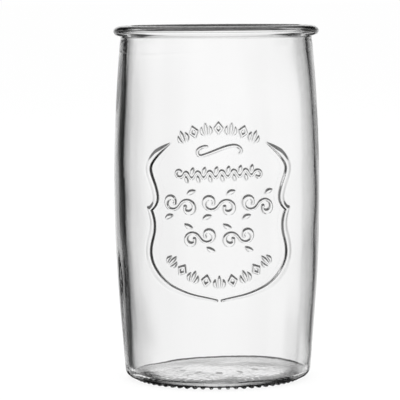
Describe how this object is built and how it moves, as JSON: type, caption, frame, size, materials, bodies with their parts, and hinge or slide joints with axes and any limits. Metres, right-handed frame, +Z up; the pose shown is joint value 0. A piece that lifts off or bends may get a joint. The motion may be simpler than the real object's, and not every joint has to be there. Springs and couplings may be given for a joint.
{
  "type": "glass tumbler",
  "caption": "Clear glass drinking tumbler with a rolled rim, barrel-shaped wall, knurled bearing ring, hollow underside and a raised shield panel on the front.",
  "frame": {"origin": "centre of the bearing ring, on the plane of the table", "axes": "+Z up along the axis of the glass; the raised shield faces -Y"},
  "size_m": [0.0798, 0.0803, 0.1372],
  "materials": {
    "soda_lime_glass": "fire-polished, clear, colourless"
  },
  "bodies": {
    "root": {"base_plate": "soda_lime_glass", "side_wall": "soda_lime_glass", "neck_band": "soda_lime_glass", "rim_bead": "soda_lime_glass", "bearing_knurls": "soda_lime_glass", "underside_marks": "soda_lime_glass", "shield_border": "soda_lime_glass", "upper_motifs": "soda_lime_glass", "pen_flourish": "soda_lime_glass", "leafy_vine": "soda_lime_glass", "middle_scrolls": "soda_lime_glass", "lower_scrolls": "soda_lime_glass", "lower_motifs": "soda_lime_glass"}
  },
  "joints": []
}
